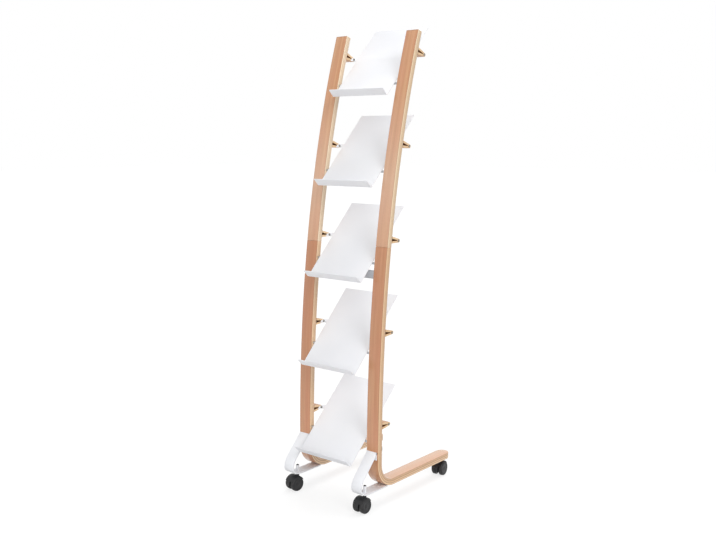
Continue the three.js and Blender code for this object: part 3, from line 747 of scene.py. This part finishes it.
for side, hand in SIDES.items():
    heads = bmesh.new()
    spots = []
    for x in TAB_SCREWS:
        on_tab = Matrix.Translation((x, band_front - SEAT - STRAP_THICK, strap_high.z - TAB_SCREW_DROP))
        spots.append(on_tab @ Matrix.Rotation(math.pi / 2, 4, "X"))
    for y in TONGUE_SCREWS:
        under_tongue = Matrix.Translation((0, full_end + y, strap_low.z - SEAT / 2))
        spots.append(under_tongue @ Matrix.Rotation(math.pi, 4, "X"))
    aside = Matrix.Translation((hand * band_centre, 0, 0))
    for spot in spots:
        head = screw_head()
        bmesh.ops.transform(head, matrix=aside @ spot, verts=head.verts)
        spare = bpy.data.meshes.new("head")
        head.to_mesh(spare)
        head.free()
        heads.from_mesh(spare)
        bpy.data.meshes.remove(spare)
    piece(f"strap_screws_{side}", heads, bolt_zinc, "frame", "bolt_steel")

# Castor stems
# Each castor turns on a steel stem, pressed into the strap's tube in front and into the foot behind.
# It is turned, zinc plated and grooved for its grip ring, and its collar carries the rack.
STEM_CHAMFER = 0.0006
STEM_LEAD = 0.0007  # chamfer of the upper end
COLLAR_RADIUS = 0.006
COLLAR_EASE = 0.0004
COLLAR_SHARE = 0.45  # of the room between the castor and the rack
NECK_DEPTH = 0.0012  # between the collar and its washer
WASHER_THICK = 0.0016
GROOVE_DEPTH = 0.0005
GROOVE_WIDTH = 0.002
GROOVE_SLOPE = 0.0002
CASTOR_TURNS = {"front_left": -8, "front_right": 0, "rear_left": 188, "rear_right": 188}  # degrees

housing_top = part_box("castor_housing_front_right")[1].z


def stem(bottom, seat, floor, top):
    """Stem along Z with its collar between the castor's seat and the underside of the rack."""
    radius, collar = STEM_RADIUS, COLLAR_RADIUS
    eased = collar - COLLAR_EASE
    neck = collar - NECK_DEPTH
    ledge = seat + (floor - seat) * COLLAR_SHARE
    washer = floor - WASHER_THICK
    groove = (floor + top) / 2
    return turned([
        (bottom, 0),
        (bottom, radius - STEM_CHAMFER),
        (bottom + STEM_CHAMFER, radius),
        (seat, radius),
        (seat, eased),
        (seat + COLLAR_EASE, collar),
        (ledge, collar),
        (ledge + COLLAR_EASE, eased),
        (ledge + COLLAR_EASE, neck),
        (washer, neck),
        (washer, eased),
        (washer + COLLAR_EASE, collar),
        (floor - COLLAR_EASE, collar),
        (floor, eased),
        (floor, radius),
        (groove, radius),
        (groove + GROOVE_SLOPE, radius - GROOVE_DEPTH),
        (groove + GROOVE_WIDTH - GROOVE_SLOPE, radius - GROOVE_DEPTH),
        (groove + GROOVE_WIDTH, radius),
        (top - STEM_LEAD, radius),
        (top, radius - STEM_LEAD),
        (top, 0),
    ], "Z")


stem_zinc = zinc_plate("stem_zinc", (0.0005, 0.0005, 0.0005), (186, 189, 194), (206, 208, 211))
castors = {}
for castor, degrees in CASTOR_TURNS.items():
    low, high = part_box(f"castor_stem_{castor}")
    axis = Matrix.Translation(((low.x + high.x) / 2, (low.y + high.y) / 2, 0))
    castors[castor] = axis @ Matrix.Rotation(math.radians(degrees), 4, "Z")
    pin = stem(low.z, housing_top + SEAT, foot_floor - SEAT, high.z)
    bmesh.ops.transform(pin, matrix=castors[castor], verts=pin.verts)
    piece(f"stem_{castor}", pin, stem_zinc, "frame", "stem_steel", f"castor_stem_{castor}")

# Castor housings
# One black moulding: a web between the wheels, a hood that covers their tops, and a tower in which
# the stem turns. Its edges are rounded as they leave the mould, and its skin has a fine grain.
TRAIL = 0.014  # from the stem to the axle
AXLE_HEIGHT = 0.024
HOOD_OUTER = 0.027
HOOD_INNER = 0.025
HOOD_WIDTH = 0.0355
HOOD_EDGE = math.radians(25)  # above the axle
HOOD_CORNER = 0.0016
HOOD_STEPS = 28
WEB_RADIUS = 0.0268
WEB_THICK = 0.0105
WEB_DIP = math.radians(12)  # below the axle
WEB_SIDES = 64
TOWER_RADIUS = 0.00524
TOWER_FOOT = 0.004  # above the axle
STEM_ROOM = 0.0039
MOULD_ROUND = 0.0007


def moulded_black(name, colour, worn):
    """Black moulded plastic with a fine grain, rubbed a little paler where the noise is high."""
    finish = Finish(name, Specular_IOR_Level=0.4)
    place = finish.places()
    grain = finish.noise(place, (0.0005, 0.0005, 0.0005), 2)
    rubs = finish.noise(place, (0.006, 0.006, 0.006), 6, 0.7)
    shade = finish.ramp(rubs, (0.4, rgb(*colour)), (0.8, rgb(*worn)))
    rough = finish.ramp(rubs, (0.3, 0.5), (0.7, 0.38))
    return finish, shade, rough, grain


def housing():
    """Housing with its stem on the Z axis and its wheels in front of the stem."""
    bm = bmesh.new()
    half = HOOD_WIDTH / 2
    start = Matrix.Rotation(HOOD_EDGE, 3, "X")
    section = [(-half, HOOD_INNER), (half, HOOD_INNER), (half, HOOD_OUTER), (-half, HOOD_OUTER)]
    verts = [bm.verts.new(start @ Vector((x, radius, 0))) for x, radius in section]
    bm.faces.new(verts)
    bmesh.ops.bevel(bm, geom=verts[2:], offset=HOOD_CORNER, segments=4, profile=0.5, affect="VERTICES",
                    clamp_overlap=True, material=-1)
    face = bm.faces[:][0]
    bmesh.ops.spin(bm, geom=[face, *face.edges, *face.verts], cent=(0, 0, 0), axis=(1, 0, 0),
                   angle=math.pi - 2 * HOOD_EDGE, steps=HOOD_STEPS)
    bmesh.ops.recalc_face_normals(bm, faces=bm.faces)
    ends = [edge for edge in sharp_edges(bm, 60) if abs(edge.verts[0].co.x - edge.verts[1].co.x) > half]
    ease(bm, ends, MOULD_ROUND, 3)

    hood = set(bm.verts)
    bmesh.ops.create_circle(bm, cap_ends=True, segments=WEB_SIDES, radius=WEB_RADIUS,
                            matrix=Matrix.Rotation(math.pi / 2, 4, "Y"))
    web = [vert for vert in bm.verts if vert not in hood]
    geom = {item for vert in web for item in (vert, *vert.link_edges, *vert.link_faces)}
    bmesh.ops.bisect_plane(bm, geom=list(geom), dist=1e-7, plane_no=(0, 0, -1), clear_outer=True,
                           plane_co=(0, 0, -WEB_RADIUS * math.sin(WEB_DIP)))
    web = [vert for vert in bm.verts if vert not in hood]
    bmesh.ops.translate(bm, vec=(-WEB_THICK / 2, 0, 0), verts=web)
    disc = next(iter(web[0].link_faces))
    grow(bm, disc, Matrix.Translation((WEB_THICK, 0, 0)))
    web = {vert for vert in bm.verts if vert not in hood}
    bmesh.ops.recalc_face_normals(bm, faces=bm.faces)
    ease(bm, [edge for edge in sharp_edges(bm, 35) if set(edge.verts) <= web], MOULD_ROUND, 3)

    bmesh.ops.translate(bm, vec=(0, -TRAIL, AXLE_HEIGHT), verts=bm.verts)
    ring(bm, STEM_ROOM, TOWER_RADIUS, AXLE_HEIGHT + TOWER_FOOT, housing_top, MOULD_ROUND)
    return bm


finish, shade, rough, grain = moulded_black("moulded_black", (25, 25, 27), (36, 36, 38))
housing_black = finish.paint(shade, rough, grain, 0.00004)
for castor, stands in castors.items():
    body = housing()
    bmesh.ops.transform(body, matrix=stands, verts=body.verts)
    piece(f"housing_{castor}", body, housing_black, f"castor_{castor}", "castor_black",
          f"castor_housing_{castor}")

# Castor axles
# A short steel pin through the web carries both wheels. It ends inside their hubs, out of sight, and
# so keeps its plain shape.
for castor in castors:
    nodes[f"castor_axle_{castor}"].data.materials[0] = stem_zinc

# Castor wheels
# Black moulded wheels with a rounded tread. The outer face is dished round a low hub cap and has a
# groove where the tread is moulded on. The inner face is hollow, and the tread is scuffed and dusty.
WHEEL_RADIUS = 0.024
WHEEL_WIDTH = 0.0145
WHEEL_ROUND = 0.0045
WHEEL_GAP = 0.001  # to the web
BORE = 0.0034
BORE_EASE = 0.0003
HUB_WALL = 0.003
HUB_RADIUS = 0.0072
HOLLOW_DEPTH = 0.0025  # of the inner face, between the hub and the tread
HOLLOW_RADIUS = 0.0188
RIM_STEP = 0.0006  # from the rounded tread in to the groove
GROOVE_SINK = 0.0009  # of the groove round the outer face


def wheel():
    """Wheel along X with its inner face at X = 0 and its outer face on the positive side."""
    outer = WHEEL_WIDTH
    rim = WHEEL_RADIUS - WHEEL_ROUND - RIM_STEP
    bore = [(outer - HUB_WALL, 0), (outer - HUB_WALL, BORE), (BORE_EASE, BORE), (0, BORE + BORE_EASE)]
    hollow = [(0, HUB_RADIUS), (0.0004, 0.0078), (HOLLOW_DEPTH, 0.0082), (HOLLOW_DEPTH, 0.0175),
              (0.0004, 0.0182), (0, HOLLOW_RADIUS)]
    shoulder = [(0, 0.0212), (0.0005, 0.0226), (0.0015, 0.0236), (0.0028, WHEEL_RADIUS)]
    arc = [math.radians(degrees) for degrees in (0, 15, 30, 45, 60, 75)]
    crown = [(outer - WHEEL_ROUND * (1 - math.sin(turn)), WHEEL_RADIUS - WHEEL_ROUND * (1 - math.cos(turn)))
             for turn in arc]
    groove = [(outer, rim), (outer - 0.0001, rim - 0.0008), (outer - GROOVE_SINK, rim - 0.0011),
              (outer - GROOVE_SINK, rim - 0.0016), (outer - 0.0002, rim - 0.0020)]
    dish = [(outer - 0.0005, rim - 0.0050), (outer - 0.0009, 0.0066)]
    hub_cap = [(outer - 0.0005, 0.0058), (outer - 0.0001, 0.0052), (outer, 0.0040), (outer, 0)]
    return turned(bore + hollow + shoulder + crown + groove + dish + hub_cap)


def wheel_black():
    """The castor plastic, dusty and paler on the tread, which the UV map marks by its radius."""
    finish, shade, rough, grain = moulded_black("wheel_black", (25, 25, 27), (38, 38, 40))
    radius = finish.add("SeparateXYZ", finish.add("UVMap", uv_map="turning").outputs[0]).outputs[1]
    tread = finish.ramp(finish.math("MULTIPLY", radius, 20), (0.41, 0.0), (0.475, 1.0))
    dust = finish.noise(finish.places(), (0.003, 0.003, 0.003), 6, 0.7)
    dust = finish.math("MULTIPLY", tread, finish.ramp(dust, (0.35, 0.1), (0.7, 0.6)))
    shade = finish.mix(dust, shade, rgb(56, 55, 54))
    rough = finish.math("ADD", rough, finish.math("MULTIPLY", dust, 0.25))
    return finish.paint(shade, rough, grain, 0.00003)


tyre_black = wheel_black()
for castor, stands in castors.items():
    for flank, hand in (("a", -1), ("b", 1)):
        roller = wheel()
        place = roller.loops.layers.uv.new("turning")
        for face in roller.faces:
            for loop in face.loops:
                loop[place].uv = (loop.vert.co.x, math.hypot(loop.vert.co.y, loop.vert.co.z))
        if hand < 0:
            bmesh.ops.rotate(roller, matrix=Matrix.Rotation(math.pi, 3, "Z"), verts=roller.verts)
        on_axle = Matrix.Translation((hand * (WEB_THICK / 2 + WHEEL_GAP), -TRAIL, AXLE_HEIGHT))
        bmesh.ops.transform(roller, matrix=stands @ on_axle, verts=roller.verts)
        piece(f"roller_{castor}_{flank}", roller, tyre_black, f"wheel_{castor}_{flank}", "wheel_black",
              f"castor_wheel_{castor}_{flank}")

# Tube plugs (painted shade)
# A small black plug is pushed into the open top of each strap's tube, above the stem. It is painted
# shade, a dark piece standing for the shade inside the open tube. It is moulded, with a low domed head
# that rests on the rim of the tube.
PLUG_RADIUS = 0.0045
PLUG_SHANK = 0.0036
PLUG_DEPTH = 0.005
PLUG_LEAD = 0.0005
PLUG_RISE = 0.0026


def shade_plug():
    """Dark plug along Z, standing for painted shade in the tube, whose head rests on the plane Z = 0."""
    dome = [(PLUG_RISE * math.sin(turn), PLUG_RADIUS * math.cos(turn))
            for turn in (math.radians(degrees) for degrees in (10, 30, 50, 70, 82))]
    return turned([
        (-PLUG_DEPTH, 0),
        (-PLUG_DEPTH, PLUG_SHANK - PLUG_LEAD),
        (-PLUG_DEPTH + PLUG_LEAD, PLUG_SHANK),
        (0, PLUG_SHANK),
        (0, PLUG_RADIUS),
        *dome,
        (PLUG_RISE, 0),
    ], "Z")


for side, hand in SIDES.items():
    shade_stopper = shade_plug()
    bmesh.ops.translate(shade_stopper, vec=(hand * band_centre, front_stem, TUBE_TOP), verts=shade_stopper.verts)
    piece(f"tube_shade_plug_{side}", shade_stopper, housing_black, "frame", "castor_black")

# Studio
# A plain white floor under soft light from above, from the right and from the front, seen from the
# photograph's angle. Where the camera or a reflection sees the floor or the air, they are white.
camera_data = bpy.data.cameras.new("camera")
camera_data.lens = 45.6
camera = bpy.data.objects.new("camera", camera_data)
camera.location = (1.8788, -2.3094, 1.1625)
camera.rotation_euler = (math.radians(90 - 8.19), 0, math.radians(39.85))
bpy.context.scene.collection.objects.link(camera)
bpy.context.scene.camera = camera

FLOOR_SIZE = 60
FLOOR_TONE = 0.64  # as it throws light back on the rack
FLOOR_SHADE = 0.3  # where it is seen, the part that takes the rack's shadow
FLOOR_GLOW = 0.74  # and the part that keeps it white
AMBIENT = 0.53


def seen_directly(tree):
    """One where the camera or a reflection sees a surface or the air, and zero for their light."""
    rays = tree.nodes.new("ShaderNodeLightPath")
    seen = rays.outputs["Is Camera Ray"]
    for ray in ("Is Glossy Ray", "Is Transmission Ray"):
        either = tree.nodes.new("ShaderNodeMath")
        either.operation = "MAXIMUM"
        tree.links.new(seen, either.inputs[0])
        tree.links.new(rays.outputs[ray], either.inputs[1])
        seen = either.outputs[0]
    return seen


def floor_white():
    finish = Finish("floor_white")
    tree = finish.tree
    plain = finish.add("BsdfDiffuse", (FLOOR_TONE, FLOOR_TONE, FLOOR_TONE, 1))
    faint = finish.add("BsdfDiffuse", (FLOOR_SHADE, FLOOR_SHADE, FLOOR_SHADE, 1))
    glow = finish.add("Emission", (1, 1, 1, 1), FLOOR_GLOW)
    bright = finish.add("AddShader", faint.outputs[0], glow.outputs[0])
    both = finish.add("MixShader", seen_directly(tree), plain.outputs[0], bright.outputs[0])
    tree.links.new(both.outputs[0], tree.nodes["Material Output"].inputs["Surface"])
    return finish.material


ground = bmesh.new()
bmesh.ops.create_grid(ground, x_segments=1, y_segments=1, size=FLOOR_SIZE / 2)
floor_mesh = bpy.data.meshes.new("floor")
ground.to_mesh(floor_mesh)
ground.free()
floor_mesh.materials.append(floor_white())
floor = bpy.data.objects.new("floor", floor_mesh)
bpy.context.scene.collection.objects.link(floor)
floor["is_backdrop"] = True

world = bpy.data.worlds.new("studio")
bpy.context.scene.world = world
world.use_nodes = True
air = world.node_tree
level = air.nodes.new("ShaderNodeMapRange")
air.links.new(seen_directly(air), level.inputs["Value"])
level.inputs["To Min"].default_value = AMBIENT
level.inputs["To Max"].default_value = 1
backdrop = air.nodes["Background"]
backdrop.inputs["Color"].default_value = (1, 1, 1, 1)
air.links.new(level.outputs[0], backdrop.inputs["Strength"])


def soft_light(name, strength, tilt, turn, spread):
    """A broad soft lamp: tilt from straight down, turned about the vertical, in degrees."""
    lamp = bpy.data.lights.new(name, "SUN")
    lamp.energy = strength
    lamp.angle = math.radians(spread)
    held = bpy.data.objects.new(name, lamp)
    held.rotation_euler = (math.radians(tilt), 0, math.radians(turn))
    bpy.context.scene.collection.objects.link(held)


soft_light("above_behind", 1.15, -17, 0, 30)
soft_light("right_side", 0.9, 58, 70, 26)
soft_light("front", 0.8, 74, 12, 50)

bpy.context.scene.view_settings.view_transform = "Standard"

low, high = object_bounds()
